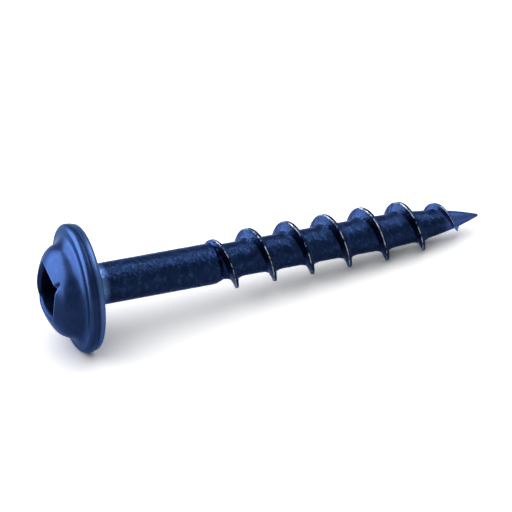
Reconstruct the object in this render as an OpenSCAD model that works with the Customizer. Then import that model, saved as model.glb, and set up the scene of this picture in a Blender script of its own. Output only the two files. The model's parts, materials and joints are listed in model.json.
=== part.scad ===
// A pocket hole screw: a washer flange with a low dome and a square recess, a
// smooth shank, and a coarse deep thread that tapers into a slotted point.
// It lies as it comes to rest, on the rim of its flange and on the thread.

/* [Head] */
// Diameter of the washer flange
flange_d = 9.5; // [9:0.1:11]
// Thickness of the washer flange
flange_t = 1.2; // [1:0.05:1.5]
// Rounding of the flange's front edge
front_round = 0.4; // [0.2:0.05:0.45]
// Rounding of the flange's back edge
back_round = 0.2; // [0.1:0.05:0.3]
// Diameter of the dome at its foot
dome_d = 7; // [6.6:0.1:7.4]
// Height of the dome above the flange
dome_h = 2.35; // [2.1:0.05:2.6]
// Radius of the dome's shoulder
shoulder_r = 1.5; // [1.2:0.05:1.6]
// Radius of the hollow between the dome and the flange
hollow_r = 0.95; // [0.3:0.05:0.95]
// Radius of the fillet between the flange and the shank
seat_fillet = 0.3; // [0.1:0.05:0.5]

/* [Square recess] */
// Width across the flats of the recess
recess_w = 2.85; // [2.3:0.05:3.2]
// Depth of the recess below the top of the dome
recess_depth = 2.4; // [1.8:0.1:2.8]
// Widening of the recess at its mouth, on each side
recess_flare = 0.12; // [0.05:0.01:0.25]
// Depth of the widened mouth at the recess's corners
flare_depth = 0.3; // [0.1:0.05:0.5]
// Depth of the hollow that the punch leaves in the recess's floor
recess_tip = 0.35; // [0.1:0.05:0.5]
// Turn of the recess about the screw's axis
recess_turn = 7; // [0:1:89]

/* [Shank] */
// Diameter of the smooth shank
shank_d = 3.05; // [2.8:0.05:3.4]
// Length of the smooth shank under the head
shank_len = 9.6; // [6:0.2:14]
// Length of the slope from the shank down to the core of the thread
shank_slope = 1; // [0.4:0.1:1.5]

/* [Thread] */
// Length of the screw under its head
length = 30.8; // [28:0.2:45]
// Diameter over the thread's crests
thread_d = 4.23; // [3.8:0.01:4.8]
// Diameter of the core between the threads
core_d = 2.6; // [2.4:0.01:2.7]
// Rise of the thread in one turn
pitch = 2.97; // [2.4:0.01:3.4]
// Width of the crest
crest_w = 0.22; // [0.1:0.01:0.3]
// Width of the flank on the head's side
head_flank = 0.26; // [0.1:0.01:0.4]
// Width of the flank on the point's side
point_flank = 0.16; // [0.1:0.01:0.4]
// Width of the hollow at the foot of each flank
flank_foot = 0.5; // [0.2:0.02:0.6]
// Length of the thread's start that lies on the end of the shank
thread_lead = 0.24; // [0:0.02:0.5]
// Length over which the thread rises to its full height
run_in = 1.2; // [0.5:0.1:3]
// Length over which the thread fades into the point
run_out = 6.2; // [4:0.1:7]

/* [Point] */
// Length of the tapered end of the core
taper_len = 9.2; // [6:0.1:12]
// Fullness of the taper: 1 is a straight cone
taper_power = 2.6; // [1.4:0.1:3]
// Diameter of the blunt end of the point
point_d = 0.14; // [0.05:0.01:0.3]
// Length of the slot that is milled in the point
slot_len = 3.8; // [3:0.1:6]
// Turn of the slot about the screw's axis
slot_turn = 234; // [0:1:359]

/* [Hidden] */

// Stations of the thread in one turn, and sides of the core
stations = 40;
// Facets of the head's and the shank's curves
facets = 96;
// Overlap of a cut past the surface that it opens
over = 1;

flange_r = flange_d / 2;
shank_r = shank_d / 2;
core_r = core_d / 2;
thread_h = thread_d / 2 - core_r;
head_h = flange_t + dome_h;

// The dome: an upright side, then the shoulder's arc, then a wide top arc that meets it smoothly
side_h = 0.2;
shoulder_x = dome_d / 2 - shoulder_r;
shoulder_rise = dome_h - side_h;
top_r = (pow(shoulder_x, 2) + pow(shoulder_rise, 2) - pow(shoulder_r, 2)) / (2 * (shoulder_rise - shoulder_r));
top_y = dome_h - top_r;
meet_x = top_r * sin(atan2(shoulder_x, side_h - top_y));
// Centre of the hollow's arc, which touches the flange and the shoulder
hollow_x = shoulder_x + sqrt(pow(shoulder_r + hollow_r, 2) - pow(hollow_r - side_h, 2));
hollow_end = min(hollow_x, flange_r - front_round);

// Height of the dome above the flange at the radius r, inside its shoulder
function dome_at(r) = top_y + sqrt(pow(top_r, 2) - pow(r, 2));

// The thread starts on the shank's end and ends short of the tip
thread_z = shank_len - thread_lead;
fade_end = length - 0.6;
thread_end = fade_end - 0.2;
turns = floor(stations * (thread_end - thread_z) / pitch) / stations;
last = round(turns * stations);
// Where the core's sides begin, inside the shank
core_z = shank_len - over;

// Radius of the core at the depth z under the head
function core_at(z) =
    let (u = max(0, (z - length + taper_len) / taper_len))
    point_d / 2 + (core_r - point_d / 2) * (1 - pow(min(1, u), taper_power));
// Height of the thread above the core at the depth z
function height_at(z) =
    let (rise = sqrt(max(0, z - thread_z) / run_in), fade = 1 + min(0, fade_end - run_out - z) / run_out)
    thread_h * min(1, rise, 1 - pow(1 - fade, 2));

// Depth under the head and angle of the thread's middle at the station t
function station_z(t) = thread_z + pitch * t / stations;
function station_a(t) = 360 * t / stations;

// The thread's section: places along the axis from the middle of the crest, and shares of its height
foot_share = 0.16;
foot_mid = 0.4;
section = [
    [-crest_w / 2 - head_flank - flank_foot, 0],
    [-crest_w / 2 - head_flank - flank_foot * foot_mid, foot_share * pow(1 - foot_mid, 2)],
    [-crest_w / 2 - head_flank, foot_share],
    [-crest_w / 2, 1],
    [crest_w / 2, 1],
    [crest_w / 2 + point_flank, foot_share],
    [crest_w / 2 + point_flank + flank_foot * foot_mid, foot_share * pow(1 - foot_mid, 2)],
    [crest_w / 2 + point_flank + flank_foot, 0]
];
corners = len(section);
// The section narrows with the thread's height, down to this share
least_width = 0.35;

// Radius, angle and depth of the section's corner c at the station t
function corner(t, c) =
    let (h = height_at(station_z(t)),
         width = max(least_width, h / thread_h),
         z = station_z(t) + section[c][0] * width)
    [core_at(z) + section[c][1] * h, station_a(t), z];

// A point given by its radius, angle and depth
function spot(p) = [p[0] * cos(p[1]), p[0] * sin(p[1]), p[2]];

// The slot takes the quarter past an edge that starts by the axis at the tip and reaches the core's
// surface at the slot's end; one of its walls stands along the axis and the other rises with the edge
slot_slope = atan2(core_at(length - slot_len) + point_d / 2, slot_len);
function in_slot(p) =
    let (a = p[1] - slot_turn, across = p[0] * cos(a) + point_d / 2, aside = p[0] * sin(a) - point_d / 2)
    aside > 0 && across * cos(slot_slope) > (length - p[2]) * sin(slot_slope);

// At rest the flange's rounded rim and the crest touch the ground
rim_x = flange_r - back_round;
rim_z = -back_round;
crest = [for (t = [0 : last], c = [3, 4]) let (p = corner(t, c)) if (!in_slot(p)) p];
// Tilt at which the crest point p touches the ground with the angle roll lowest
function touch(p, roll) =
    let (along = p[2] - rim_z, drop = rim_x - p[0] * cos(p[1] - roll))
    atan2(drop, along) + asin(back_round / norm([along, drop]));
function tilt_at(roll) = min([for (p = crest) touch(p, roll)]);
// The roll of greatest tilt, where the screw lies lowest, sought in ever finer steps
function lowest(from, step, count) =
    let (tilts = [for (i = [0 : count]) tilt_at(from + i * step)],
         best = [for (i = [0 : count]) if (tilts[i] == max(tilts)) i][0])
    from + best * step;
coarse = lowest(0, 3, 119);
fine = lowest(coarse - 3, 0.3, 20);
roll = lowest(fine - 0.3, 0.03, 20);
tilt = tilt_at(roll);

// Place of the head's underside when the screw lies on the ground, centred along its length
mouth_r = recess_w / 2 + recess_flare * 2;
reach_back = (flange_t + dome_at(mouth_r)) * cos(tilt) + mouth_r * sin(tilt);
reach_front = length * cos(tilt);
lay_x = (reach_back - reach_front) / 2;
lay_z = rim_z * sin(tilt) + rim_x * cos(tilt) + back_round;

// Lays a screw that stands with its underside at the origin and its point up
module lay() {
    translate([lay_x, 0, lay_z]) rotate([0, 90 + tilt, 0]) rotate([0, 0, -roll]) children();
}

// Half outline of the dome above the flange
module dome_outline() {
    intersection() {
        union() {
            intersection() {
                translate([0, top_y]) circle(top_r, $fn = facets);
                square([meet_x, dome_h]);
            }
            translate([shoulder_x, side_h]) circle(shoulder_r, $fn = facets);
            square([dome_d / 2, side_h]);
        }
        square([dome_d / 2, dome_h]);
    }
    difference() {
        polygon([[shoulder_x, 0], [hollow_end, 0], [hollow_end, hollow_r], [shoulder_x, side_h]]);
        translate([hollow_x, hollow_r]) circle(hollow_r, $fn = facets);
    }
}

// Half outline of the flange, with its underside at 0
module flange_outline() {
    polygon([
        [0, 0], [0, flange_t], [flange_r - front_round, flange_t], [flange_r, flange_t - front_round],
        [flange_r, back_round], [flange_r - back_round, 0]
    ]);
    translate([flange_r - front_round, flange_t - front_round]) circle(front_round, $fn = facets);
    translate([flange_r - back_round, back_round]) circle(back_round, $fn = facets);
}

// Head and shank turned from one outline, with the point's end downwards
module turned() {
    rotate_extrude($fn = facets) {
        translate([0, flange_t]) dome_outline();
        flange_outline();
        difference() {
            translate([0, -seat_fillet]) square([shank_r + seat_fillet, seat_fillet]);
            translate([shank_r + seat_fillet, -seat_fillet]) circle(seat_fillet, $fn = facets);
        }
        polygon([
            [0, 0], [shank_r, 0], [shank_r, -shank_len],
            [core_r * 0.9, -shank_len - shank_slope], [0, -shank_len - shank_slope]
        ]);
    }
}

// Square recess with a flared mouth and the hollow of the punch in its floor
module recess() {
    floor_h = head_h - recess_depth;
    corner_r = recess_w / sqrt(2);
    flare_h = dome_h - dome_at(corner_r) + flare_depth;
    spread = sqrt(2) * recess_flare / flare_depth;
    translate([0, 0, floor_h]) linear_extrude(recess_depth + over) square(recess_w, center = true);
    translate([0, 0, head_h - flare_h]) rotate([0, 0, 45])
        cylinder(flare_h, corner_r, corner_r + flare_h * spread, $fn = 4);
    translate([0, 0, floor_h - recess_tip])
        cylinder(recess_tip, 0, recess_w / 2, $fn = facets);
}

// Core and thread as one skin: a strip that winds round the core, turn beside turn
module threaded() {
    first_ring = (last + 1) * corners;
    base = first_ring + stations;
    tip = base + 1;
    points = [
        for (t = [0 : last], c = [0 : corners - 1]) spot(corner(t, c)),
        for (t = [0 : stations - 1]) spot([core_r, station_a(t), core_z]),
        [0, 0, core_z],
        [0, 0, length]
    ];
    function at(t, c) = t * corners + c;
    function ring(t) = first_ring + t % stations;
    turn_end = last - stations;
    foot = corners - 1;
    faces = [
        // Flanks and crest
        for (t = [0 : last - 1], c = [0 : foot - 1], side = [0, 1])
            side == 0 ? [at(t, c), at(t, c + 1), at(t + 1, c + 1)] : [at(t, c), at(t + 1, c + 1), at(t + 1, c)],
        // The core between two turns
        for (t = [0 : turn_end - 1], side = [0, 1])
            side == 0 ? [at(t, foot), at(t + stations, 0), at(t + stations + 1, 0)]
                      : [at(t, foot), at(t + stations + 1, 0), at(t + 1, foot)],
        // The core ahead of the first turn, and its flat end inside the shank
        for (t = [0 : stations - 2], side = [0, 1])
            side == 0 ? [ring(t), at(t, 0), at(t + 1, 0)] : [ring(t), at(t + 1, 0), ring(t + 1)],
        [ring(stations - 1), at(stations - 1, 0), at(stations, 0)],
        [ring(stations - 1), at(stations, 0), at(0, foot)],
        for (c = [0 : foot - 1]) [ring(stations - 1), at(0, c + 1), at(0, c)],
        [ring(stations - 1), at(0, 0), ring(0)],
        for (t = [0 : stations - 1]) [base, ring(t), ring(t + 1)],
        // The point past the last turn, and the thread's blunt end
        [at(turn_end, foot), at(last, 0), at(turn_end + 1, foot)],
        [at(last, 0), at(last, foot), at(turn_end + 1, foot)],
        for (t = [turn_end + 1 : last - 1]) [at(t, foot), tip, at(t + 1, foot)],
        [at(last, foot), tip, at(turn_end + 1, foot)],
        for (c = [1 : foot - 1]) [at(last, 0), at(last, c), at(last, c + 1)]
    ];
    polyhedron(points, faces);
}

// Quarter slot that is milled in the point, deepest at the tip
module slot() {
    reach = length - shank_len;
    rotate([0, 0, slot_turn]) translate([-point_d / 2, point_d / 2, length])
        rotate([0, 180 - slot_slope, 0]) translate([0, 0, -over])
            mirror([1, 0, 0]) cube([thread_d, thread_d, reach]);
}

// The screw, which is one piece of steel with a dark blue coating
module screw() {
    color("midnightblue") lay() difference() {
        union() {
            rotate([180, 0, 0]) difference() {
                turned();
                rotate([0, 0, recess_turn]) recess();
            }
            threaded();
        }
        slot();
    }
}

screw();
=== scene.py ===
"""A pocket hole screw with a dark blue coating: washer flange, low dome with a square recess,
smooth shank, coarse thread and slotted point, on a plain white floor."""

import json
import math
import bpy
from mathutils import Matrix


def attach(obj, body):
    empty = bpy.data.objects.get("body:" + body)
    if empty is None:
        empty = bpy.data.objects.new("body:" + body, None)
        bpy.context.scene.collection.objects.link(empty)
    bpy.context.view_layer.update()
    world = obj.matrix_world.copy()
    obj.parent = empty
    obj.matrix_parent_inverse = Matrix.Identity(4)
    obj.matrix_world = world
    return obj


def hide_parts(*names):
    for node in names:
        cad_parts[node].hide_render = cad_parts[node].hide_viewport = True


bl_info = {
    "name": "Pocket hole screw",
    "version": (1, 0, 0),
    "blender": (4, 5, 0),
    "location": "View3D > Sidebar > Screw",
    "description": "Builds a coated pocket hole screw and the floor that it lies on",
    "category": "Object",
}

import bmesh
import bpy
import numpy as np
from bpy.props import FloatProperty, FloatVectorProperty, IntProperty, PointerProperty
from mathutils import Matrix, Vector

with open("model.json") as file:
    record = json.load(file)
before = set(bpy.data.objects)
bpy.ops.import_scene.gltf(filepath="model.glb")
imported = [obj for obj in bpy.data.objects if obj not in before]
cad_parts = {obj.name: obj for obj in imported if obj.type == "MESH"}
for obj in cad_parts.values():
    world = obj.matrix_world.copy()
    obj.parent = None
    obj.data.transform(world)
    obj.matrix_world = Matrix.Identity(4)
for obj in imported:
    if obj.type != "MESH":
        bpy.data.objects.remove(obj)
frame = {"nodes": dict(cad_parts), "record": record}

NODE = "screw"
BODY = "root"
SEAT = "seat_face"

# How near, in metres, two points count as one: where the head meets the thread, and where two
# turns of the thread meet
PIECE_WELD = 1e-6
TURN_WELD = 2e-6
# Edges that turn by more than this are drawn sharp
SHARP = math.radians(38)


# Properties


def linear(code):
    """The linear RGB colour of a hex sRGB code such as 1f3c66."""
    shares = [int(code[i : i + 2], 16) / 255 for i in (0, 2, 4)]
    return tuple(c / 12.92 if c <= 0.04045 else ((c + 0.055) / 1.055) ** 2.4 for c in shares)


def length(name, text, size):
    """A length property; its default is given in millimetres."""
    return FloatProperty(
        name=name, description=text, default=size / 1000, unit="LENGTH", precision=5
    )


def angle(name, text, degrees):
    """An angle property; its default is given in degrees."""
    return FloatProperty(
        name=name, description=text, default=math.radians(degrees), subtype="ANGLE"
    )


def share(name, text, value):
    """A property from 0 to 1."""
    return FloatProperty(name=name, description=text, default=value, min=0, max=1, subtype="FACTOR")


def number(name, text, value):
    """A plain number property."""
    return FloatProperty(name=name, description=text, default=value)


def hue(name, text, code):
    """A colour property; its default is a hex sRGB code."""
    return FloatVectorProperty(
        name=name, description=text, default=linear(code), size=3, min=0, max=1, subtype="COLOR"
    )


class HeadSizes(bpy.types.PropertyGroup):
    """Sizes of the washer flange and the dome"""

    flange_r: length("Flange radius", "Radius of the washer flange", 4.748)
    flange_t: length("Flange thickness", "Thickness of the washer flange", 1.2)
    front_round: length("Front rounding", "Rounding of the flange's front edge", 0.4)
    back_round: length("Back rounding", "Rounding of the flange's back edge", 0.3)
    dome_r: length("Dome radius", "Radius of the dome at its foot", 3.5)
    dome_h: length("Dome height", "Height of the dome above the flange", 2.315)
    side_h: length("Dome side", "Height of the upright side under the shoulder", 0.2)
    shoulder_r: length("Shoulder", "Radius of the dome's shoulder", 1.5)
    hollow_r: length("Hollow", "Radius of the hollow between the dome and the flange", 0.95)
    seat_fillet: length("Seat fillet", "Fillet between the flange and the shank", 0.5)
    line_h: length("Rim line height", "Height of the rim's fine line above the underside", 0.56)
    line_d: length("Rim line depth", "Depth of the fine line round the rim", 0.03)
    rim_taper: length("Rim taper", "Narrowing of the rim towards its back edge", 0.1)


class RecessSizes(bpy.types.PropertyGroup):
    """Sizes of the square recess"""

    half_w: length("Half width", "Half of the width across the flats", 1.44)
    depth: length("Depth", "Depth below the top of the dome", 2.4)
    flare: length("Flare", "Widening of the mouth on each side", 0.14)
    flare_depth: length("Flare depth", "Depth of the widened mouth", 0.3)
    tip: length("Punch hollow", "Depth of the hollow in the floor", 0.35)
    edge: length("Edge rounding", "Rounding of the mouth's edge", 0.08)
    bow: length("Side bow", "Outward bow of the two sides next to the nicked corner", 0.3)
    squareness: number("Squareness", "Power of the recess's outline", 60)
    turn: angle("Turn", "Angle of a corner about the axis", 38)
    off: length("Off centre", "Distance of the punch from the screw's axis", 0.15)
    off_turn: angle("Off centre turn", "Direction of that distance", 80)
    groove_l: length("Nick length", "Length of the nick that runs out of one corner", 1.9)
    groove_w: length("Nick half width", "Half width of that nick at the corner", 0.3)
    groove_d: length("Nick depth", "Depth of that nick at the corner", 0.15)
    groove_lean: angle("Nick lean", "Angle between the nick and the corner's diagonal", -25)
    groove_turn: angle("Nick turn", "Angle of the nicked corner", 128)


class ShankSizes(bpy.types.PropertyGroup):
    """Sizes of the smooth shank"""

    shank_r: length("Shank radius", "Radius of the smooth shank", 1.525)
    shank_l: length("Shank length", "Length of the smooth shank under the head", 9.6)
    slope: length("Shank slope", "Length of the slope down to the thread's core", 1)


class ThreadSizes(bpy.types.PropertyGroup):
    """Sizes of the thread and its core"""

    length: length("Screw length", "Length under the head", 30.786)
    start: length("Thread start", "Depth at which the thread starts", 9.36)
    thread_h: length("Thread height", "Height of the crest above the core", 0.815)
    core_r: length("Core radius", "Radius of the core between two turns", 1.3)
    pitch: length("Pitch", "Rise of the thread in one turn", 2.97)
    crest_w: length("Crest width", "Width of the crest", 0.22)
    head_flank: length("Head flank", "Width of the flank on the head's side", 0.26)
    point_flank: length("Point flank", "Width of the flank on the point's side", 0.16)
    foot: length("Foot", "Width of the hollow at the foot of each flank", 0.5)
    foot_share: share("Foot height", "Height of that hollow as a share of the thread's", 0.16)
    run_in: length("Run in", "Length over which the thread rises", 1.2)
    run_out: length("Run out", "Length over which the thread fades into the point", 6.2)
    fade_gap: length("Fade gap", "Bare length between the faded thread and the tip", 0.6)
    least_width: share("Least width", "Share of its width that the fading thread keeps", 0.35)
    stations: IntProperty(
        name="Stations", description="Stations of the skin in one turn", default=192
    )


class PointSizes(bpy.types.PropertyGroup):
    """Sizes of the tapered point and its slot"""

    taper_l: length("Taper length", "Length of the tapered end of the core", 9.2)
    power: number("Taper power", "Fullness of the taper, 1 for a straight cone", 2.6)
    point_r: length("Point radius", "Radius of the blunt end", 0.09)
    slot_l: length("Slot length", "Length of the slot in the point", 3.8)
    slot_turn: angle("Slot turn", "Angle of the slot about the axis", 234)


class CoatingLook(bpy.types.PropertyGroup):
    """Colours and finish of the coated steel"""

    navy: hue("Navy", "Main colour of the coating", "112040")
    deep: hue("Deep navy", "Darker coating of the shank and the thread", "04132c")
    # Haze also paints the highlight on the point
    haze: hue("Haze", "Paler violet patches where the coating is thin", "32467a")
    # Pale blue that paints highlights along the head's edges, with a little wear on the rim's front
    pale: hue("Rubbed blue", "Coating that is rubbed pale along the head's edges", "5b7fb8")
    sheen: hue("Sheen", "Tint of the coating's gloss at a low angle", "a6beec")
    steel: hue("Steel", "Bare steel on worn edges", "b8bfc8")
    metal: share("Metal", "Share of metallic reflection in the coating", 0.84)
    shank_deep: share("Shank depth", "Share of deep navy on the shank and the thread", 0.7)
    patch_deep: share("Patch depth", "Share of deep navy that the patches add", 0.45)
    flank_deep: share("Flank depth", "Share of deep navy that the thread's flanks add", 0.4)
    head_haze: share("Head haze", "Share of haze where the head's coating is thin", 0.1)
    shank_haze: share("Shank haze", "Share of haze where the shank's coating is thin", 0.3)
    flank_haze: share("Flank haze", "What is left of that haze on the thread's flanks", 0.25)
    # The haze at the tip is a painted highlight on the slotted point
    tip_highlight: share("Tip haze", "Share of haze at the tip", 0.85)
    tip_from: length("Tip", "Distance along the floor at which the paler tip starts", 13.9)
    tip_fade: length("Tip fade", "Length over which the tip turns pale", 0.6)
    head_rough: share("Head roughness", "Roughness of the coating on the smooth head", 0.32)
    shank_rough: share("Shank roughness", "Roughness on the shank and the thread", 0.27)
    patch_rough: share("Patch roughness", "What a patch adds to or takes off the roughness", 0.05)
    worn_rough: share("Worn roughness", "What wear adds to the roughness", 0.3)
    patch: length("Patch size", "Size of the coating's patches", 0.9)
    skin: length("Skin size", "Size of the dents in the skin of the shank and thread", 0.4)
    skin_h: length("Skin height", "Height of those dents", 0.075)
    head_skin: share("Head skin", "Height of the dents on the head as a share of that", 0.06)
    tip_skin: share("Tip skin", "Height of the dents at the tip as a share of that", 0.2)
    grain: length("Grain size", "Size of the fine grain", 0.12)
    grain_h: share("Grain height", "Height of the fine grain as a share of the dents'", 0.04)
    wear: share("Wear", "Share of the crest's edge that is worn bright", 0.75)
    wear_gap: length("Wear gaps", "Size of the gaps in the worn edge", 0.6)


class StageLook(bpy.types.PropertyGroup):
    """Floor, lights and camera"""

    floor: hue("Floor", "Colour of the floor", "fafafa")
    lift: number("Floor lift", "Paper that the camera sees on top of the floor's own", 0.62)
    key: number("Key light", "Brightness of the softbox overhead, 1 for white", 1.18)
    card: number("Key card", "Brightness of that softbox's middle in reflections", 1.95)
    top: number("Overhead card", "Brightness of the card overhead in reflections", 5)
    side: number("Side card", "Brightness of the card behind the head in reflections", 11)
    sky: number("Sky", "Strength of the soft light from all round", 0.12)
    lens: number("Lens", "Focal length in millimetres on a 36 mm sensor", 240)
    roll: angle("Camera roll", "Lean of the camera about its view", -8.004)


class Sizes(bpy.types.PropertyGroup):
    """Everything that the screw and its stage are made from"""

    head: PointerProperty(type=HeadSizes)
    recess: PointerProperty(type=RecessSizes)
    shank: PointerProperty(type=ShankSizes)
    thread: PointerProperty(type=ThreadSizes)
    point: PointerProperty(type=PointSizes)
    coating: PointerProperty(type=CoatingLook)
    stage: PointerProperty(type=StageLook)


# Nodes and objects


def add_node(tree, kind, inputs=None, **settings):
    """Adds a node, sets its options and its sockets, and links the sockets that get an output."""
    node = tree.nodes.new(kind)
    for name, value in settings.items():
        setattr(node, name, value)
    for key, value in (inputs or {}).items():
        socket = node.inputs[key]
        if isinstance(value, bpy.types.NodeSocket):
            tree.links.new(value, socket)
        else:
            socket.default_value = value
    return node


def empty_tree(owner):
    """The node tree of a material or a world, with nothing in it."""
    owner.use_nodes = True
    owner.node_tree.nodes.clear()
    return owner.node_tree


def add_object(name, data):
    """A new object of the scene, with the data in it."""
    made = bpy.data.objects.new(name, data)
    bpy.context.scene.collection.objects.link(made)
    return made


# Placing

# A packed corner this share of the thread's height above the core is one of the crest's
CREST_SHARE = 0.98


def standing_to_lying(sizes):
    """The matrix that lays the screw, drawn upright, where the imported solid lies."""
    mount = next(m for m in frame["record"]["mounts"] if m["name"] == SEAT)
    axis = Vector(mount["axis"])
    tilt = math.atan2(-axis.z, axis.x)
    place = Matrix.Translation(mount["pos_m"]) @ Matrix.Rotation(math.pi / 2 + tilt, 4, "Y")
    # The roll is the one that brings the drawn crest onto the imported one
    mesh = frame["nodes"][NODE].data
    corners = np.empty(len(mesh.vertices) * 3, np.float32)
    mesh.vertices.foreach_get("co", corners)
    back = np.array(place.inverted())
    x, y, z = back[:3, :3] @ corners.reshape(-1, 3).T + back[:3, 3:]
    thread = sizes.thread
    full_from = thread.start + thread.pitch
    full_to = thread.length - sizes.point.taper_l - thread.pitch
    crest_r = thread.core_r + thread.thread_h * CREST_SHARE
    crest = (np.hypot(x, y) > crest_r) & (z > full_from) & (z < full_to)
    ahead = 2 * math.pi * (z - thread.start) / thread.pitch - np.arctan2(y, x)
    roll = math.atan2(np.sin(ahead[crest]).sum(), np.cos(ahead[crest]).sum())
    return place @ Matrix.Rotation(-roll, 4, "Z")


# Head and shank

# Rings of the recess: the punch's hollow, whose half width is a share of the recess's, the flat
# floor round it, the wall and the flare, each as shares of the way
HOLLOW_FROM, HOLLOW_SHARE, HOLLOW_RINGS = 0.12, 0.94, 7
FLOOR_RINGS = (0.4, 0.97)
WALL_RINGS = (0.02, 0.2, 0.4, 0.6, 0.8, 0.92, 1.0)
FLARE_RINGS, FLARE_CURVE = (0.25, 0.5, 0.72), 1.3
# Rings of the mouth's rounded edge, and how far it reaches out as a share of its radius
EDGE_RINGS, EDGE_REACH = 6, 0.9
# Rings of the dome from the mouth to the shoulder, a little closer at the mouth
DOME_RINGS, DOME_CURVE = 24, 1.15
# How pale the mouth's edge is painted at the nicked corner, a painted highlight line with a
# little wear, and how widely that spreads round the mouth
EDGE_RUB_AND_HIGHLIGHT, RUB_AND_HIGHLIGHT_SPREAD = 0.8, 1.6
# Half of a side's angle, a hair under 45 degrees
HALF_SIDE = 0.785
# Share of the nick's length that reaches back into the recess
NICK_BACK = 0.3


def arc(centre, radius, start, end, count):
    """Points of an arc between two angles in degrees, as rows of radius and height."""
    angles = np.radians(np.linspace(start, end, count))
    across = centre[0] + radius * np.cos(angles)
    return np.stack([across, centre[1] + radius * np.sin(angles)], axis=1)


class Dome:
    """The head's half outline: an upright side, the shoulder's arc and a wide top arc."""

    def __init__(self, head):
        self.flange_t = head.flange_t
        self.shoulder_x = head.dome_r - head.shoulder_r
        rise = head.dome_h - head.side_h
        reach = self.shoulder_x**2 + rise**2 - head.shoulder_r**2
        self.top_r = reach / (2 * (rise - head.shoulder_r))
        self.top_y = head.dome_h - self.top_r
        self.meet = math.atan2(self.shoulder_x, head.side_h - self.top_y)
        self.meet_x = self.top_r * math.sin(self.meet)
        apart = head.shoulder_r + head.hollow_r
        self.hollow_x = self.shoulder_x + math.sqrt(apart**2 - (head.hollow_r - head.side_h) ** 2)

    def height(self, radius):
        """Height above the underside of the head, inside the shoulder."""
        return self.flange_t + self.top_y + np.sqrt(self.top_r**2 - np.square(radius))


def head_outline(head, dome, shank):
    """Half outline from the shoulder over the rim to the shank: rows of radius, height and painted
    highlight.
    """
    touch = math.degrees(math.atan2(head.hollow_r - head.side_h, dome.hollow_x - dome.shoulder_x))
    meet = math.degrees(dome.meet)
    shoulder_y = head.side_h + head.flange_t
    shoulder = arc((dome.shoulder_x, shoulder_y), head.shoulder_r, 90 - meet, touch, count=22)
    hollow_y = head.hollow_r + head.flange_t
    hollow = arc((dome.hollow_x, hollow_y), head.hollow_r, 180 + touch, 270, count=12)
    front_y = head.flange_t - head.front_round
    front = arc((head.flange_r - head.front_round, front_y), head.front_round, 90, 0, count=12)
    back_r = head.flange_r - head.rim_taper
    line_r = head.flange_r - head.rim_taper * (front_y - head.line_h) / front_y
    line = np.array([
        (line_r, head.line_h + head.line_d),
        (line_r - head.line_d, head.line_h),
        (line_r, head.line_h - head.line_d),
    ])
    back = arc((back_r - head.back_round, head.back_round), head.back_round, 0, -90, count=8)
    fillet_x = shank.shank_r + head.seat_fillet
    under_r = np.linspace(back_r - head.back_round, fillet_x, 8)[1:-1]
    under = np.stack([under_r, np.zeros_like(under_r)], axis=1)
    fillet = arc((fillet_x, -head.seat_fillet), head.seat_fillet, 90, 180, count=9)
    depths = np.linspace(head.seat_fillet, shank.shank_l - shank.slope, 20)[1:]
    body = np.stack([np.full_like(depths, shank.shank_r), -depths], axis=1)
    # How pale each stretch is painted: a little at the hollow's end and the front of the rim, which
    # is worn there, and more as painted highlights at its back edge and in a band on the fillet and
    # the foot of the shank
    stretches = (
        (shoulder, 0), (hollow[1:7], 0), (hollow[7:], 0.06), (front[:8], 0.05), (front[8:], 0),
        (line, 0), (back, 0.3), (under, 0), (fillet, 0.4), (body[:1], 0.42), (body[1:], 0),
    )
    return np.concatenate([
        np.column_stack([rows, np.full(len(rows), rub_and_highlight)]) for rows, rub_and_highlight in stretches
    ])


def groove_depth(recess, local, corner_r):
    """Depth of the small nick that runs outward from one of the recess's corners."""
    turn = recess.groove_turn
    corner = corner_r * np.array([[math.cos(turn)], [math.sin(turn)]])
    run = turn + recess.groove_lean
    x, y = local - corner
    along = math.cos(run) * x + math.sin(run) * y
    across = math.cos(run) * y - math.sin(run) * x
    fade = np.clip(1 - np.maximum(along, 0) / recess.groove_l, 0, 1)
    # The small number keeps the nick's end from a division by nothing
    side = np.abs(across) / (recess.groove_w * fade + 1e-9)
    reached = along > -NICK_BACK * recess.groove_l
    return recess.groove_d * np.sqrt(fade) * np.clip(1 - side, 0, 1) * reached


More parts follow.
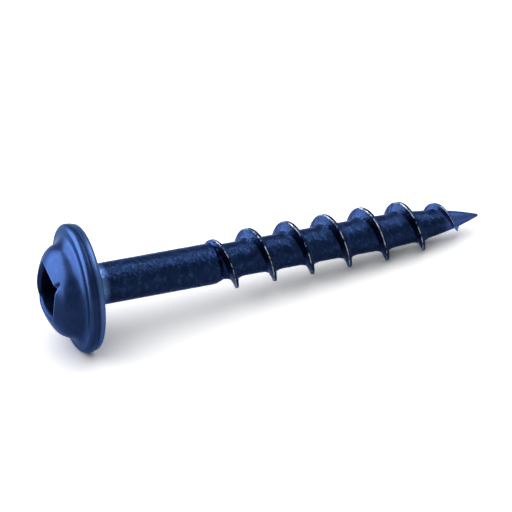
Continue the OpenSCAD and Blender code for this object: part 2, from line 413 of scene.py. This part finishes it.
def head_rings(sizes):
    """Rings from the recess's floor to the shank's end, their painted highlight, and the floor's
    middle.
    """
    head, recess = sizes.head, sizes.recess
    dome = Dome(head)
    count = sizes.thread.stations
    angles = np.arange(count) * 2 * math.pi / count
    ray = np.stack([np.cos(angles), np.sin(angles)])
    middle = recess.off * np.array([[math.cos(recess.off_turn)], [math.sin(recess.off_turn)]])
    turned = angles - recess.turn + math.pi / 4
    power = recess.squareness
    outline = np.abs(np.cos(turned)) ** power + np.abs(np.sin(turned)) ** power
    square = recess.half_w / outline ** (1 / power)
    # The two sides next to the nicked corner bow outward in flat arcs
    across = (angles - recess.groove_turn + math.pi) % (2 * math.pi) - math.pi
    from_side = np.clip(np.abs(across) - math.pi / 4, -HALF_SIDE, HALF_SIDE)
    bowed = np.clip(1 - np.tan(from_side) ** 2, 0, 1) * (np.abs(across) < math.pi / 2)
    square = square + recess.bow * bowed
    wide = square * (1 + recess.flare / recess.half_w)
    floor_h = head.flange_t + head.dome_h - recess.depth
    beside = np.clip(RUB_AND_HIGHLIGHT_SPREAD * np.cos(angles - recess.groove_turn), 0, 1)
    rings = []
    rubbed_and_lit = []

    def ring(radius, height, centred=0.0, rub_and_highlight=0.0):
        """Adds a ring round the recess's middle, or round the axis where centred is 1."""
        rings.append((ray * radius + middle * (1 - centred), height * np.ones(count)))
        rubbed_and_lit.append(rub_and_highlight * np.ones(count))

    def on_dome(radius, centred=0.0):
        """Height of the dome under such a ring."""
        return dome.height(np.hypot(*(ray * radius + middle * (1 - centred))))

    for part in np.linspace(HOLLOW_FROM, HOLLOW_SHARE, HOLLOW_RINGS):
        ring(recess.half_w * part, floor_h - recess.tip * (1 - part / HOLLOW_SHARE))
    for part in FLOOR_RINGS:
        ring(square * part + recess.half_w * HOLLOW_SHARE * (1 - part), floor_h)
    mouth_h = on_dome(wide)
    start_h = mouth_h - recess.flare_depth
    for part in WALL_RINGS:
        ring(square, floor_h + (start_h - floor_h) * part)
    for part in FLARE_RINGS:
        ring(square + (wide - square) * part**FLARE_CURVE, start_h + (mouth_h - start_h) * part)
    # The mouth's rounded edge carries a painted highlight line, strongest beside the nicked corner
    for turn in np.radians(np.linspace(0, 90, EDGE_RINGS)):
        out = wide + recess.edge * (1 - math.cos(turn)) * EDGE_REACH
        height = on_dome(out) - recess.edge * (1 - math.sin(turn))
        ring(out, height, rub_and_highlight=EDGE_RUB_AND_HIGHLIGHT * math.sin(turn) ** 2 * beside)
    first = wide + recess.edge * EDGE_REACH
    for part in np.linspace(0, 1, DOME_RINGS + 2)[1:-1]:
        radius = first + (dome.meet_x - first) * part**DOME_CURVE
        ring(radius, on_dome(radius, part), part)
    cut = []
    for place, height in rings:
        cut.append((place, height - groove_depth(recess, place - middle, wide.max())))
    for radius, height, rub_and_highlight in head_outline(head, dome, sizes.shank):
        cut.append((ray * radius, np.full(count, height)))
        rubbed_and_lit.append(np.full(count, rub_and_highlight))
    return cut, rubbed_and_lit, (*middle[:, 0], floor_h - recess.tip)


def head_mesh(sizes):
    """A bmesh of the head and the shank, upright with the depth as Z, open at the shank's end."""
    rings, rubbed_and_lit, pole = head_rings(sizes)
    mesh = bmesh.new()
    # The head has no worn crest and no flank, but the joined mesh carries the thread's values
    mesh.verts.layers.float.new("edge")
    mesh.verts.layers.float.new("flank")
    satin = mesh.verts.layers.float.new("satin")
    # Pale paint along the head's edges: mostly painted highlight, a little wear
    rub_and_highlight = mesh.verts.layers.float.new("rub_and_highlight")
    tip = mesh.verts.new((pole[0], pole[1], -pole[2]))
    loops = [
        [mesh.verts.new((x, y, -z)) for x, y, z in zip(*place, height)] for place, height in rings
    ]
    count = len(loops[0])
    for i in range(count):
        mesh.faces.new((tip, loops[0][i], loops[0][(i + 1) % count]))
    for loop, values in zip(loops, rubbed_and_lit):
        for vert, value in zip(loop, values):
            vert[rub_and_highlight] = value
    for inner, outer in zip(loops, loops[1:]):
        for i in range(count):
            j = (i + 1) % count
            mesh.faces.new((inner[i], outer[i], outer[j], inner[j]))
    for vert in mesh.verts:
        vert[satin] = 1.0 if vert.co.z < sizes.head.seat_fillet else 0.0
    return mesh


# Thread

# Stations of the section on each side, as shares of the core, of the hollow at the thread's foot
# and of the flank above it, whose curve is a power
CORE_STATIONS = (1, 0.7, 0.4, 0.15)
FOOT_STATIONS = (0, 0.2, 0.4, 0.6, 0.8, 1)
FLANK_STATIONS, FLANK_CURVE = (0.12, 0.35, 0.6, 0.82), 1.2
# The crest's rounded edge: share of half the crest, share of the height, share of the wear
CREST_EDGE = ((1.08, 0.93, 0.4), (0.94, 0.985, 1.0), (0.7, 1.0, 0.25), (0.4, 1.0, 0.0))
CREST_MIDDLE = 0.995
# Wear of the crest's edge on the head's side and on the point's side
HEAD_WEAR, POINT_WEAR = 1.0, 0.05
# The skin runs on by this part of a turn beyond the core's two ends
SPARE_TURNS = 0.6
# The slope at the shank's end runs down to this share of the core's radius
SLOPE_FOOT = 0.9
# Skin this near to the screw's length, in metres, closes on the axis
CLOSING = 1e-7
# The crest is worn in full down to one part in this of the thread's height
WEAR_REACH = 2.2
# Side of the block that cuts the slot, in core radii, and how far it starts past the tip, in metres
BLOCK_SIDE = 3
PAST_TIP = 0.001

# What each point of the section carries, and the sizes that the winding takes
SECTION = ("fixed", "narrowing", "height", "edge")
COUNTS = ("stations", "columns", "lead", "rows")
LENGTHS = (
    "pitch", "start", "thread_h", "core_r", "run_in", "run_out", "fade_end", "least_width",
    "taper_l", "taper_power", "point_r", "screw_l", "shank_r", "shank_l", "slope", "skin_start",
)

# The place of one point of the skin, a line for each sum: its name, what it does, and with what
WINDING = (
    ("past_lead", "SUBTRACT", "row", "lead"),
    ("station", "DIVIDE", "past_lead", "stations"),
    ("angle", "MULTIPLY", "station", 2 * math.pi),
    ("climb", "MULTIPLY", "station", "pitch"),
    ("middle", "ADD", "start", "climb"),
    # How full the thread is here, from nothing at its start to nothing at the point
    ("since_start", "SUBTRACT", "middle", "start"),
    ("run_in_share", "DIVIDE", "since_start", "run_in"),
    ("begun", "MAXIMUM", "run_in_share", 0.0),
    ("rise", "SQRT", "begun"),
    ("to_fade_end", "SUBTRACT", "fade_end", "middle"),
    ("run_out_share", "DIVIDE", "to_fade_end", "run_out"),
    ("left", "MAXIMUM", "run_out_share", 0.0),
    ("left_of_one", "MINIMUM", "left", 1.0),
    ("gone", "SUBTRACT", 1.0, "left_of_one"),
    ("gone_squared", "POWER", "gone", 2.0),
    ("faded", "SUBTRACT", 1.0, "gone_squared"),
    ("lesser", "MINIMUM", "rise", "faded"),
    ("full", "MINIMUM", "lesser", 1.0),
    # Depth under the head; the section narrows as the thread fades
    ("width", "MAXIMUM", "full", "least_width"),
    ("fixed_depth", "ADD", "middle", "fixed"),
    ("narrowed", "MULTIPLY", "narrowing", "width"),
    ("free_depth", "ADD", "fixed_depth", "narrowed"),
    ("under_shank", "MAXIMUM", "free_depth", "skin_start"),
    ("depth", "MINIMUM", "under_shank", "screw_l"),
    # Radius of the core along its taper
    ("from_end", "SUBTRACT", "depth", "screw_l"),
    ("in_taper", "ADD", "from_end", "taper_l"),
    ("taper_share", "DIVIDE", "in_taper", "taper_l"),
    ("taper_begun", "MAXIMUM", "taper_share", 0.0),
    ("tapered", "MINIMUM", "taper_begun", 1.0),
    ("thinned", "POWER", "tapered", "taper_power"),
    ("fuller", "SUBTRACT", 1.0, "thinned"),
    ("core_over_point", "SUBTRACT", "core_r", "point_r"),
    ("core_left", "MULTIPLY", "core_over_point", "fuller"),
    ("core", "ADD", "point_r", "core_left"),
    # Radius of the slope where the shank ends
    ("past_shank", "SUBTRACT", "depth", "shank_l"),
    ("slope_share", "DIVIDE", "past_shank", "slope"),
    ("slope_begun", "MAXIMUM", "slope_share", 0.0),
    ("down", "MINIMUM", "slope_begun", 1.0),
    ("slope_foot", "MULTIPLY", "core_r", SLOPE_FOOT),
    ("slope_fall", "SUBTRACT", "shank_r", "slope_foot"),
    ("fallen", "MULTIPLY", "slope_fall", "down"),
    ("sloped", "SUBTRACT", "shank_r", "fallen"),
    ("on_slope", "LESS_THAN", "down", 1.0),
    ("shank", "MULTIPLY", "sloped", "on_slope"),
    # Radius of the skin, which closes on the axis at the screw's end
    ("section_h", "MULTIPLY", "height", "thread_h"),
    ("thread", "MULTIPLY", "section_h", "full"),
    ("raised", "ADD", "core", "thread"),
    ("outer", "MAXIMUM", "raised", "shank"),
    ("end", "SUBTRACT", "screw_l", CLOSING),
    ("short_of_end", "LESS_THAN", "depth", "end"),
    ("radius", "MULTIPLY", "outer", "short_of_end"),
    ("cosine", "COSINE", "angle"),
    ("sine", "SINE", "angle"),
    ("x", "MULTIPLY", "radius", "cosine"),
    ("y", "MULTIPLY", "radius", "sine"),
    # The worn edge reaches into the last turn, where the thread is low
    ("wear_height", "MULTIPLY", "full", WEAR_REACH),
    ("wear_share", "MINIMUM", "wear_height", 1.0),
    ("worn_edge", "MULTIPLY", "edge", "wear_share"),
    ("flank", "MULTIPLY", "height", "full"),
)


def section_points(thread):
    """The thread's section from root to root, a row of the SECTION's values for each point: fixed
    offset, offset that narrows with the thread, share of its height, and wear."""
    half = thread.pitch / 2
    crest = thread.crest_w / 2
    foot_h = thread.foot_share
    sides = []
    for side, flank, wear in (
        (-1, thread.head_flank, HEAD_WEAR), (1, thread.point_flank, POINT_WEAR),
    ):
        foot_at = crest + flank + thread.foot
        rows = [(side * half * s, side * foot_at * (1 - s), 0.0, 0.0) for s in CORE_STATIONS]
        for s in FOOT_STATIONS:
            rows.append((0.0, side * (foot_at - thread.foot * s), foot_h * s**2, 0.0))
        for s in FLANK_STATIONS:
            out = crest + flank * (1 - s) ** FLANK_CURVE
            rows.append((0.0, side * out, foot_h + (1 - foot_h) * s, 0.0))
        for at, high, worn in CREST_EDGE:
            rows.append((0.0, side * crest * at, high, worn * wear))
        sides.append(rows)
    return sides[0] + [(0.0, 0.0, CREST_MIDDLE, 0.0)] + sides[1][::-1]


def section_mesh(thread):
    """A mesh of loose points that carry the section's values, and their number."""
    rows = section_points(thread)
    mesh = bpy.data.meshes.new("thread_section")
    mesh.from_pydata([(row[1], row[2] * thread.thread_h, 0) for row in rows], [], [])
    for i, name in enumerate(SECTION):
        values = mesh.attributes.new(name, "FLOAT", "POINT").data
        values.foreach_set("value", [row[i] for row in rows])
    return mesh, len(rows)


def winding_nodes(material):
    """The node group that winds the section round the core, with one pitch of core beside it."""
    tree = bpy.data.node_groups.new("wind_thread", "GeometryNodeTree")
    sockets = tree.interface
    sockets.new_socket("Section", in_out="INPUT", socket_type="NodeSocketGeometry")
    for name in COUNTS:
        sockets.new_socket(name, in_out="INPUT", socket_type="NodeSocketInt")
    for name in LENGTHS:
        sockets.new_socket(name, in_out="INPUT", socket_type="NodeSocketFloat")
    sockets.new_socket("Thread", in_out="OUTPUT", socket_type="NodeSocketGeometry")
    given = add_node(tree, "NodeGroupInput").outputs
    values = {name: given[name] for name in COUNTS + LENGTHS}

    # A grid with a row for each station and a column for each point of the section
    size = {"Vertices X": given["rows"], "Vertices Y": given["columns"]}
    skin = add_node(tree, "GeometryNodeMeshGrid", size).outputs["Mesh"]
    index = add_node(tree, "GeometryNodeInputIndex").outputs[0]
    for name, operation in ("row", "DIVIDE_FLOOR"), ("column", "MODULO"):
        terms = {0: index, 1: given["columns"]}
        values[name] = add_node(
            tree, "FunctionNodeIntegerMath", terms, operation=operation
        ).outputs[0]
    for name in SECTION:
        carried = add_node(
            tree, "GeometryNodeInputNamedAttribute", {"Name": name}, data_type="FLOAT"
        ).outputs["Attribute"]
        values[name] = add_node(
            tree, "GeometryNodeSampleIndex",
            {"Geometry": given["Section"], "Value": carried, "Index": values["column"]},
            data_type="FLOAT", domain="POINT",
        ).outputs["Value"]
    for name, operation, *terms in WINDING:
        terms = {i: values.get(term, term) for i, term in enumerate(terms)}
        values[name] = add_node(tree, "ShaderNodeMath", terms, operation=operation).outputs[0]

    place = {0: values["x"], 1: values["y"], 2: values["depth"]}
    place = add_node(tree, "ShaderNodeCombineXYZ", place).outputs[0]
    for name, value in ("edge", "worn_edge"), ("flank", "flank"):
        skin = add_node(
            tree, "GeometryNodeStoreNamedAttribute",
            {"Geometry": skin, "Name": name, "Value": values[value]},
            data_type="FLOAT", domain="POINT",
        ).outputs[0]
    for kind, inputs in (
        ("GeometryNodeSetPosition", {"Position": place}),
        ("GeometryNodeMergeByDistance", {"Distance": TURN_WELD}),
        ("GeometryNodeRealizeInstances", {}),
        ("GeometryNodeSetMaterial", {"Material": material}),
    ):
        skin = add_node(tree, kind, {"Geometry": skin, **inputs}).outputs[0]
    add_node(tree, "NodeGroupOutput", {"Thread": skin})
    return tree


def thread_mesh(sizes, material):
    """The threaded end as a plain mesh, upright, open towards the shank."""
    thread, shank, point = sizes.thread, sizes.shank, sizes.point
    section, columns = section_mesh(thread)
    maker = add_object("thread_maker", section)
    skin_start = shank.shank_l - shank.slope
    turns_before = (thread.start - skin_start) / thread.pitch + SPARE_TURNS
    turns_after = (thread.length - thread.start) / thread.pitch + SPARE_TURNS
    lead = math.ceil(turns_before * thread.stations)
    values = dict(
        stations=thread.stations, columns=columns, lead=lead,
        rows=lead + math.ceil(turns_after * thread.stations),
        pitch=thread.pitch, start=thread.start, thread_h=thread.thread_h, core_r=thread.core_r,
        run_in=thread.run_in, run_out=thread.run_out, fade_end=thread.length - thread.fade_gap,
        least_width=thread.least_width, taper_l=point.taper_l, taper_power=point.power,
        point_r=point.point_r, screw_l=thread.length, shank_r=shank.shank_r,
        shank_l=shank.shank_l, slope=shank.slope, skin_start=skin_start,
    )
    winder = maker.modifiers.new("wind", "NODES")
    winder.node_group = winding_nodes(material)
    for item in winder.node_group.interface.items_tree:
        if item.in_out == "INPUT" and item.name in values:
            winder[item.identifier] = values[item.name]
    cutter = slot_cutter(sizes)
    cut = maker.modifiers.new("slot", "BOOLEAN")
    cut.operation = "DIFFERENCE"
    cut.solver = "EXACT"
    cut.object = cutter
    graph = bpy.context.evaluated_depsgraph_get()
    mesh = bpy.data.meshes.new_from_object(maker.evaluated_get(graph), depsgraph=graph)
    bpy.data.objects.remove(maker)
    bpy.data.objects.remove(cutter)
    return mesh


def slot_cutter(sizes):
    """A block that stands past the slot's edge; the edge leaves the axis towards the head."""
    thread, point = sizes.thread, sizes.point
    # The slot runs out where its edge meets the core
    left = (1 - point.slot_l / point.taper_l) ** point.power
    core_there = point.point_r + (thread.core_r - point.point_r) * (1 - left)
    slope = math.atan2(core_there + point.point_r, point.slot_l)
    reach = thread.length - sizes.shank.shank_l
    # The block stands well past the crest, and a little past the tip
    side = thread.core_r * BLOCK_SIDE
    square = ((0, 0), (side, 0), (side, side), (0, side))
    corners = [(-x, y, z) for z in (-PAST_TIP, reach - PAST_TIP) for x, y in square]
    faces = [(0, 1, 2, 3), (7, 6, 5, 4), (0, 4, 5, 1), (1, 5, 6, 2), (2, 6, 7, 3), (3, 7, 4, 0)]
    block = bpy.data.meshes.new("slot_block")
    block.from_pydata(corners, [], faces)
    beside_tip = Matrix.Translation((-point.point_r, point.point_r, thread.length))
    lean = Matrix.Rotation(math.pi - slope, 4, "Y")
    block.transform(Matrix.Rotation(point.slot_turn, 4, "Z") @ beside_tip @ lean)
    return add_object("slot_block", block)


# Materials

# Roughness of every noise and of the paper
NOISE_ROUGH = 0.6
PAPER_ROUGH = 0.5
# The noise above which the crest's edge is bare at a wear of 0, how much lower that is at a wear
# of 1, and the width of the gaps' soft edge
GAPS_FULL, GAPS_SPAN, GAPS_SOFT = 0.66, 0.3, 0.1
# The worn steel shows less on the side of the crest that faces this way, up and towards +Y
UPWARD_SIDE = (0, 0.5, 0.87)


def coating_material(look):
    """Cold-formed steel, plated and dipped in a dark blue coating, and tumbled in bulk."""
    # To the eye: a satin blue gloss, smooth on the head and finely dented on the shank and the
    # thread, clouds where the coating is thick or thin, bright steel on the thread's edge, and
    # painted highlights along the head's edges and on the paler tip.
    # Real clouds are about a millimetre wide. The dents are some 0.15 mm and the grain a few
    # hundredths, too fine for the render, so they are drawn 0.4 and 0.12 mm wide.
    material = bpy.data.materials.new("dark_blue_coating")
    tree = empty_tree(material)
    place = add_node(tree, "ShaderNodeTexCoord").outputs["Object"]
    normal = add_node(tree, "ShaderNodeNewGeometry").outputs["Normal"]
    facing = {0: normal, 1: UPWARD_SIDE}
    facing = add_node(tree, "ShaderNodeVectorMath", facing, operation="DOT_PRODUCT")
    along = add_node(tree, "ShaderNodeSeparateXYZ", {"Vector": place})
    values = {"facing": facing.outputs["Value"], "along": along.outputs["X"]}
    for name in ("satin", "edge", "flank", "rub_and_highlight"):
        values[name] = add_node(tree, "ShaderNodeAttribute", attribute_name=name).outputs["Fac"]

    # Noise: name, width of its features, detail, and how much narrower it is along the screw
    for name, size, detail, squeeze in (
        ("patches", look.patch, 4.0, 1.0),
        ("skin", look.skin, 2.0, 1.4),
        ("grain", look.grain, 2.0, 1.0),
        ("gaps", look.wear_gap, 3.0, 1.0),
    ):
        spot = add_node(tree, "ShaderNodeMapping", {"Vector": place, "Scale": (squeeze, 1, 1)})
        values[name] = add_node(tree, "ShaderNodeTexNoise", {
            "Vector": spot.outputs[0], "Scale": 1 / size, "Detail": detail,
            "Roughness": NOISE_ROUGH,
        }).outputs[0]

    # Ranges: name, what it follows, from where to where, and what it goes from and to. Satin is
    # 1 on the head and 0 on the rest, and flank is the share of the thread's height.
    worn_from = GAPS_FULL - GAPS_SPAN * look.wear
    for name, followed, low, high, start, end in (
        # The tip range makes the point smoother and, through the haze, paler: a painted highlight
        ("tip", "along", look.tip_from, look.tip_from + look.tip_fade, 0.0, 1.0),
        ("part_deep", "satin", 0.0, 1.0, look.shank_deep, 0.0),
        ("patch_deep", "patches", 0.55, 0.3, 0.0, look.patch_deep),
        ("flank_deep", "flank", 0.1, 0.5, 0.0, look.flank_deep),
        ("skin_thin", "skin", 0.5, 0.75, 0.0, 1.0),
        ("part_haze", "satin", 0.0, 1.0, look.shank_haze, look.head_haze),
        ("flank_haze", "flank", 0.1, 0.5, 1.0, look.flank_haze),
        ("ungapped", "gaps", worn_from, worn_from + GAPS_SOFT, 0.0, 1.0),
        ("not_upward", "facing", 0.1, 0.5, 1.0, 0.0),
        ("part_rough", "satin", 0.0, 1.0, look.shank_rough, look.head_rough),
        ("patch_rough", "patches", 0.3, 0.7, -look.patch_rough, look.patch_rough),
        ("part_skin", "satin", 0.0, 1.0, 1.0, look.head_skin),
        ("tip_skin", "tip", 0.0, 1.0, 1.0, look.tip_skin),
    ):
        values[name] = add_node(tree, "ShaderNodeMapRange", {
            "Value": values[followed], "From Min": low, "From Max": high,
            "To Min": start, "To Max": end,
        }).outputs[0]

    # Sums: name, what it does, and with what
    for name, operation, *terms in (
        ("cloudy", "ADD", "part_deep", "patch_deep"),
        ("darker", "ADD", "cloudy", "flank_deep"),
        ("thin_skin", "MULTIPLY", "skin_thin", "part_haze"),
        ("thin", "MULTIPLY", "thin_skin", "flank_haze"),
        # Haze at the tip: a painted highlight on the point
        ("tip_highlight", "MULTIPLY", "tip", look.tip_highlight),
        ("haze_and_tip_highlight", "MAXIMUM", "thin", "tip_highlight"),
        ("worn_edge", "MULTIPLY", "edge", "ungapped"),
        ("worn", "MULTIPLY", "worn_edge", "not_upward"),
        ("coat_rough", "ADD", "part_rough", "patch_rough"),
        ("worn_rough", "MULTIPLY", "worn", look.worn_rough),
        ("rough", "ADD", "coat_rough", "worn_rough"),
        ("skin_share", "MINIMUM", "part_skin", "tip_skin"),
        ("dents", "MULTIPLY", "skin", "skin_share"),
        ("fine", "MULTIPLY", "grain", look.grain_h),
        ("relief", "ADD", "dents", "fine"),
    ):
        terms = {i: values.get(term, term) for i, term in enumerate(terms)}
        values[name] = add_node(tree, "ShaderNodeMath", terms, operation=operation).outputs[0]

    # Colours, each laid over the last; the last, pale blue along the head's edges, is painted
    # highlight with a little wear
    colour = (*look.navy, 1)
    layers = ("darker", look.deep), ("haze_and_tip_highlight", look.haze), ("worn", look.steel), ("rub_and_highlight", look.pale)
    for name, layer in layers:
        laid = {0: values[name], 6: colour, 7: (*layer, 1)}
        colour = add_node(tree, "ShaderNodeMix", laid, data_type="RGBA").outputs[2]
    relief = {"Height": values["relief"], "Strength": 1.0, "Distance": look.skin_h}
    shader = add_node(tree, "ShaderNodeBsdfPrincipled", {
        "Base Color": colour, "Metallic": look.metal, "Roughness": values["rough"],
        "Normal": add_node(tree, "ShaderNodeBump", relief).outputs[0],
        "Specular Tint": (*look.sheen, 1),
    })
    add_node(tree, "ShaderNodeOutputMaterial", {"Surface": shader.outputs[0]})
    return material


def camera_sees(tree):
    """1 for the rays of the camera and of reflections, 0 for the rays that light the object."""
    path = add_node(tree, "ShaderNodeLightPath").outputs
    seen = path["Is Camera Ray"]
    for ray in ("Is Glossy Ray", "Is Transmission Ray"):
        either = add_node(tree, "ShaderNodeMath", {0: seen, 1: path[ray]}, operation="MAXIMUM")
        seen = either.outputs[0]
    return seen


def floor_material(look):
    """Plain matt white paper: lit as it is, and drawn brighter where the camera sees it."""
    # To the eye: an even white without gloss, on which only the screw's soft shadow shows
    material = bpy.data.materials.new("white_paper")
    tree = empty_tree(material)
    lift = {0: camera_sees(tree), 1: look.lift}
    lift = add_node(tree, "ShaderNodeMath", lift, operation="MULTIPLY")
    sheets = [
        add_node(tree, "ShaderNodeBsdfDiffuse", {"Color": colour, "Roughness": PAPER_ROUGH})
        for colour in ((*look.floor, 1), lift.outputs[0])
    ]
    both = add_node(tree, "ShaderNodeAddShader", {i: s.outputs[0] for i, s in enumerate(sheets)})
    add_node(tree, "ShaderNodeOutputMaterial", {"Surface": both.outputs[0]})
    return material


# Operators


class SCREW_OT_build(bpy.types.Operator):
    """Build the screw: head, recess, shank, thread and point as one piece"""

    bl_idname = "object.build_pocket_screw"
    bl_label = "Build screw"
    bl_options = {"REGISTER", "UNDO"}

    def execute(self, context):
        sizes = context.scene.screw_sizes
        material = coating_material(sizes.coating)
        body = head_mesh(sizes)
        body.from_mesh(thread_mesh(sizes, material))
        bmesh.ops.remove_doubles(body, verts=body.verts, dist=PIECE_WELD)
        bmesh.ops.recalc_face_normals(body, faces=body.faces)
        bmesh.ops.transform(body, matrix=standing_to_lying(sizes), verts=body.verts)
        mesh = bpy.data.meshes.new("pocket_screw")
        body.to_mesh(mesh)
        body.free()
        mesh.materials.clear()
        mesh.materials.append(material)
        mesh.shade_smooth()
        mesh.set_sharp_from_angle(angle=SHARP)
        screw = add_object("pocket_screw", mesh)
        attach(screw, BODY)
        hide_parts(NODE)
        return {"FINISHED"}


# Half of the floor's side, in metres
FLOOR_HALF = 0.8
# Name of each softbox, the brightness it takes, azimuth and elevation in degrees, distance, width
# and height in metres, whether it lights the scene, and whether it shows in reflections
SOFTBOXES = (
    ("key", "key", 125, 76, 0.33, 0.95, 0.95, True, False),
    ("key_card", "card", 125, 74, 0.33, 0.42, 0.42, False, True),
    ("top_card", "top", -4, 55, 0.3, 0.28, 0.13, False, True),
    ("side_card", "side", 151, 30, 0.3, 0.42, 0.34, False, True),
)
# Where the camera is and where it looks, its sensor's width, all in millimetres, and the nearest
# and farthest that it sees, in metres
CAMERA_AT = (-64.625, -210.251, 122.948)
CAMERA_AIM = (-0.557, 0.207, 3.066)
CAMERA_SENSOR = 36
CAMERA_RANGE = (0.01, 5)


def softbox(name, brightness, azimuth, elevation, distance, width, height, lights, shows):
    """A softbox that faces the screw; it may only light, or only show in reflections."""
    lamp = bpy.data.lights.new(name, "AREA")
    lamp.shape = "RECTANGLE"
    lamp.size = width
    lamp.size_y = height
    lamp.energy = brightness * math.pi * width * height
    turn, lift = math.radians(azimuth), math.radians(elevation)
    level = math.cos(lift)
    towards = Vector((level * math.cos(turn), level * math.sin(turn), math.sin(lift)))
    holder = add_object(name, lamp)
    holder.location = towards * distance
    holder.rotation_euler = towards.to_track_quat("Z", "Y").to_euler()
    holder.visible_diffuse = lights
    holder.visible_glossy = shows


class SCREW_OT_stage(bpy.types.Operator):
    """Build the floor, the lights and the camera"""

    bl_idname = "object.build_screw_stage"
    bl_label = "Build stage"
    bl_options = {"REGISTER", "UNDO"}

    def execute(self, context):
        scene = context.scene
        look = scene.screw_sizes.stage
        half = FLOOR_HALF
        corners = [(-half, -half, 0), (half, -half, 0), (half, half, 0), (-half, half, 0)]
        sheet = bpy.data.meshes.new("floor")
        sheet.from_pydata(corners, [], [(0, 1, 2, 3)])
        sheet.materials.append(floor_material(look))
        ground = add_object("floor", sheet)

        # The sky is white where the camera sees it, and only as strong as the look says elsewhere
        scene.world = bpy.data.worlds.new("studio")
        tree = empty_tree(scene.world)
        power = {0: camera_sees(tree), 1: 1 - look.sky, 2: look.sky}
        power = add_node(tree, "ShaderNodeMath", power, operation="MULTIPLY_ADD").outputs[0]
        sky = add_node(tree, "ShaderNodeBackground", {"Color": (1, 1, 1, 1), "Strength": power})
        add_node(tree, "ShaderNodeOutputWorld", {"Surface": sky.outputs[0]})
        for name, brightness, *rest in SOFTBOXES:
            softbox(name, getattr(look, brightness), *rest)

        eye = bpy.data.cameras.new("eye")
        eye.lens = look.lens
        eye.sensor_width = CAMERA_SENSOR
        eye.clip_start, eye.clip_end = CAMERA_RANGE
        camera = add_object("eye", eye)
        camera.location = Vector(CAMERA_AT) / 1000
        view = Vector(CAMERA_AIM) / 1000 - camera.location
        turn = view.to_track_quat("-Z", "Y").to_matrix() @ Matrix.Rotation(look.roll, 3, "Z")
        camera.rotation_euler = turn.to_euler()
        scene.camera = camera
        scene.view_settings.view_transform = "Standard"
        return {"FINISHED"}


class SCREW_PT_panel(bpy.types.Panel):
    """The screw's sizes and its two builders"""

    bl_idname = "SCREW_PT_panel"
    bl_label = "Pocket hole screw"
    bl_space_type = "VIEW_3D"
    bl_region_type = "UI"
    bl_category = "Screw"

    def draw(self, context):
        sizes = context.scene.screw_sizes
        for title in Sizes.__annotations__:
            box = self.layout.box()
            box.label(text=title.capitalize())
            group = getattr(sizes, title)
            for name in group.__annotations__:
                box.prop(group, name)
        self.layout.operator(SCREW_OT_build.bl_idname)
        self.layout.operator(SCREW_OT_stage.bl_idname)


CLASSES = (
    HeadSizes, RecessSizes, ShankSizes, ThreadSizes, PointSizes, CoatingLook, StageLook, Sizes,
    SCREW_OT_build, SCREW_OT_stage, SCREW_PT_panel,
)


def register():
    for cls in CLASSES:
        bpy.utils.register_class(cls)
    bpy.types.Scene.screw_sizes = PointerProperty(type=Sizes)


def unregister():
    del bpy.types.Scene.screw_sizes
    for cls in reversed(CLASSES):
        bpy.utils.unregister_class(cls)


def main():
    """Builds the screw and its stage."""
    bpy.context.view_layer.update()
    register()
    bpy.ops.object.build_pocket_screw()
    bpy.ops.object.build_screw_stage()


if __name__ == "__main__":
    main()
